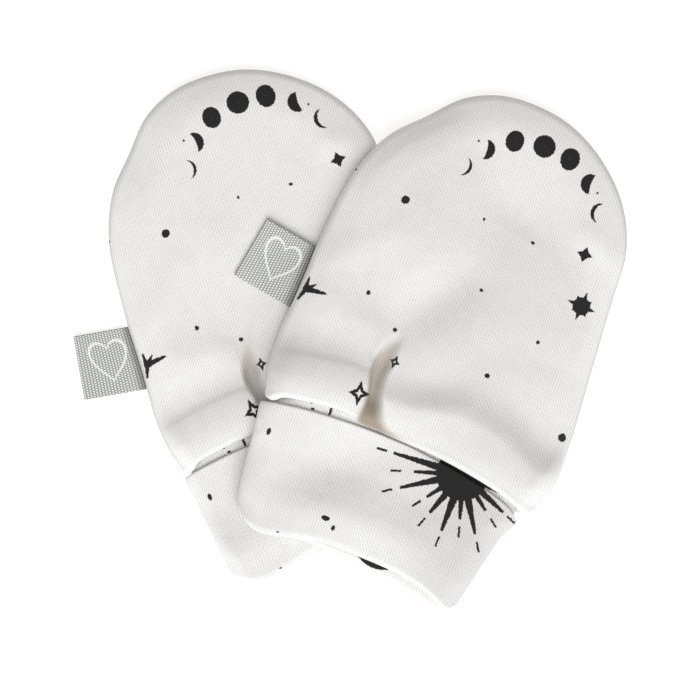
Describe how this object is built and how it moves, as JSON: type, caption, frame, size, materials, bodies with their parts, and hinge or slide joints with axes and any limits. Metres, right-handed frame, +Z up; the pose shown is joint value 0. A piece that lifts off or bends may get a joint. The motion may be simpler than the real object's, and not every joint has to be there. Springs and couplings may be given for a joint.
{
  "type": "pair of baby mittens",
  "caption": "Soft cotton baby mittens laid flat and crossed, each a rounded hand with a deep pleat at the wrist, a turned-up cuff and a folded tape label, to keep small hands from scratching",
  "frame": {"origin": "the middle of the pair's footprint, on the surface that it lies on", "axes": "+X to the right across both mittens, +Y from the cuffs towards the fingertips, +Z up"},
  "size_m": [0.145, 0.1406, 0.0198],
  "materials": {
    "cloth": "matte off-white cotton interlock with a small black sky print",
    "tape": "matte grey woven tape"
  },
  "bodies": {
    "root": {"left_front_panel": "cloth", "left_back_panel": "cloth", "left_cuff": "cloth", "left_label": "tape", "right_front_panel": "cloth", "right_back_panel": "cloth", "right_cuff": "cloth", "right_label": "tape"}
  },
  "joints": []
}
